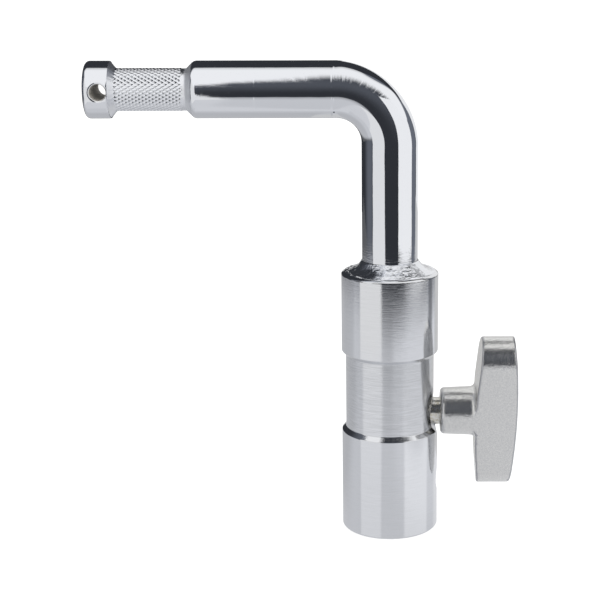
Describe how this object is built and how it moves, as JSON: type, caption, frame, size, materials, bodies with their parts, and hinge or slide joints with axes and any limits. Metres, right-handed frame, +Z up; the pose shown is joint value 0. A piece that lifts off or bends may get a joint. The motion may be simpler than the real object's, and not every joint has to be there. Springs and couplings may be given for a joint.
{
  "type": "right angle pin adapter",
  "caption": "Right angle grip adapter: a stud socket with a T handle clamp screw, and a bent rod welded on top that ends in a knurled pin.",
  "frame": {"origin": "middle of the stud socket's mouth, on the bottom face of the receiver body", "axes": "+Z up along the receiver body, -X along the arm towards the free end of the pin, +Y to the back"},
  "size_m": [0.1218, 0.028, 0.1373],
  "materials": {
    "body_steel": "plated, fine turned brushing",
    "arm_chrome": "mirror polished chrome",
    "weld_steel": "weld bead, plated over",
    "screw_steel": "plated thread, faintly warm",
    "handle_casting": "tumbled die casting, satin"
  },
  "bodies": {
    "body": {"receiver_body": "body_steel", "bent_pin_arm": "arm_chrome", "arm_weld_bead": "weld_steel"},
    "screw": {"clamp_screw": "screw_steel"},
    "handle": {"t_handle": "handle_casting"}
  },
  "joints": [
    {"name": "screw_travel", "type": "slide", "parent": "body", "child": "screw", "axis": [1, 0, 0], "range_m": [-0.0004, 0.0053]},
    {"name": "handle_turn", "type": "hinge", "parent": "screw", "child": "handle", "pos_m": [0, 0, 0.035], "axis": [1, 0, 0], "range_deg": [-90, 1260]}
  ],
  "couplings": [
    {"joint": "screw_travel", "follows": "handle_turn", "m_per_rad": 0.00023873}
  ]
}
